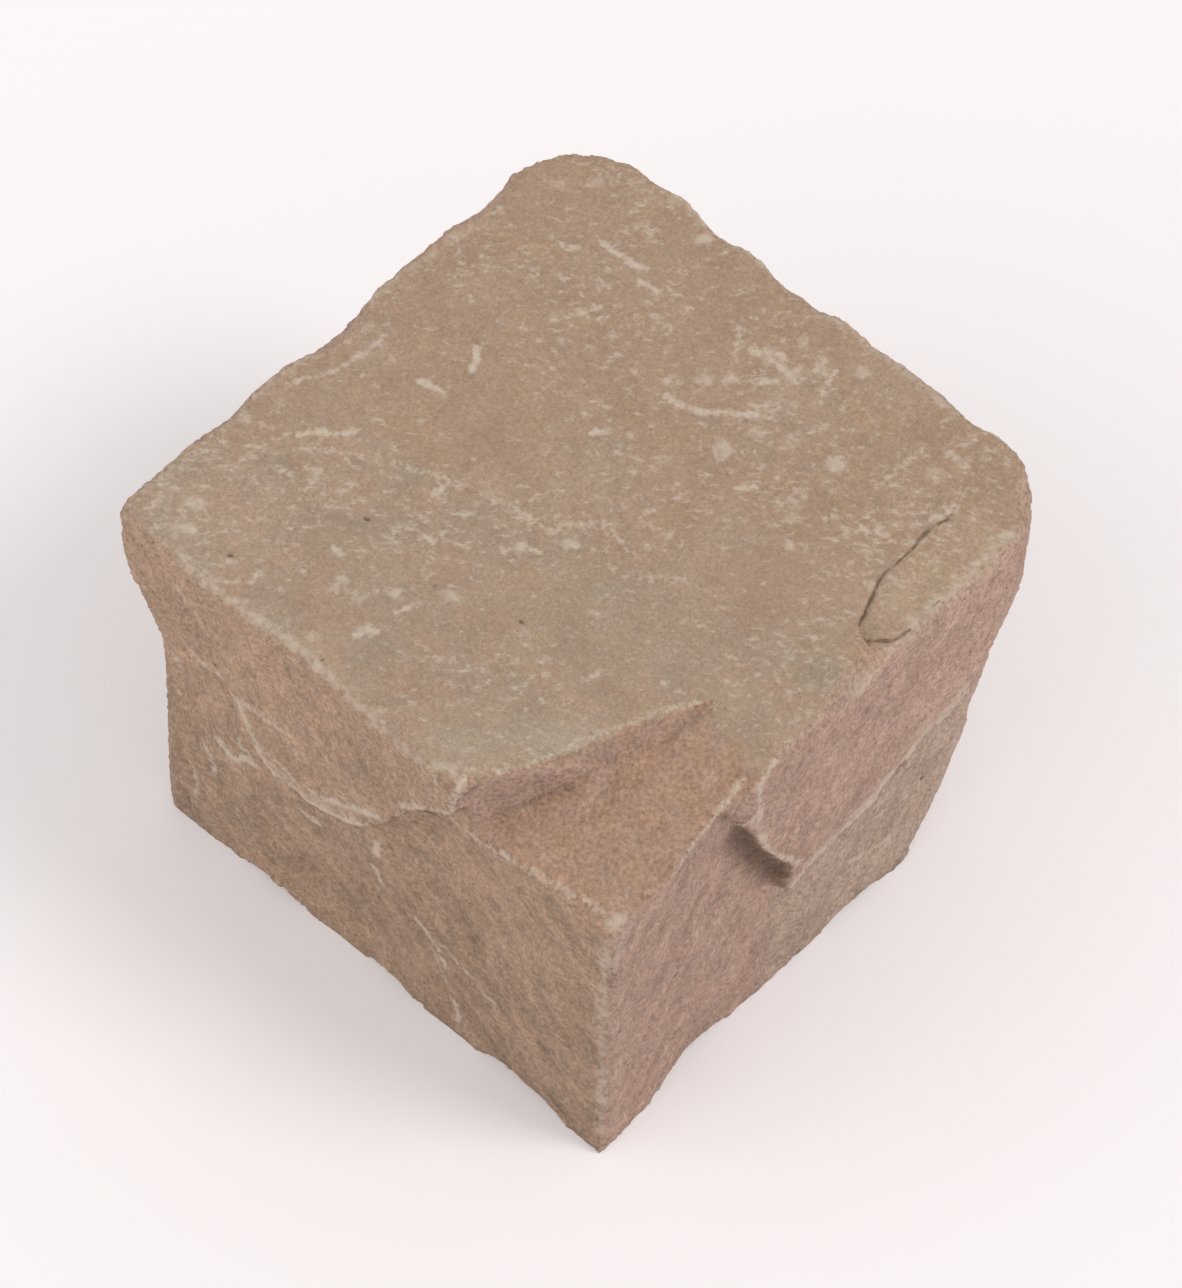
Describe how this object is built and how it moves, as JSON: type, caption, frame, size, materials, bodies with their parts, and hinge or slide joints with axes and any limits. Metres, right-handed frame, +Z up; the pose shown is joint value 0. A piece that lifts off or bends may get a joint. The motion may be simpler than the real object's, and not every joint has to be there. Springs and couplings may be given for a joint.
{
  "type": "sandstone sett",
  "caption": "Hand-split sandstone paving block with a near-square flat tread, tapered rough sides and one spalled top corner.",
  "frame": {"origin": "middle of the stone's bounding box in plan, on its flat bed face", "axes": "+Z up from the bed to the tread; the spalled corner lies between +X and -Y"},
  "size_m": [0.1048, 0.1048, 0.08],
  "materials": {
    "sandstone": "split"
  },
  "bodies": {
    "root": {"paving_stone": "sandstone"}
  },
  "joints": []
}
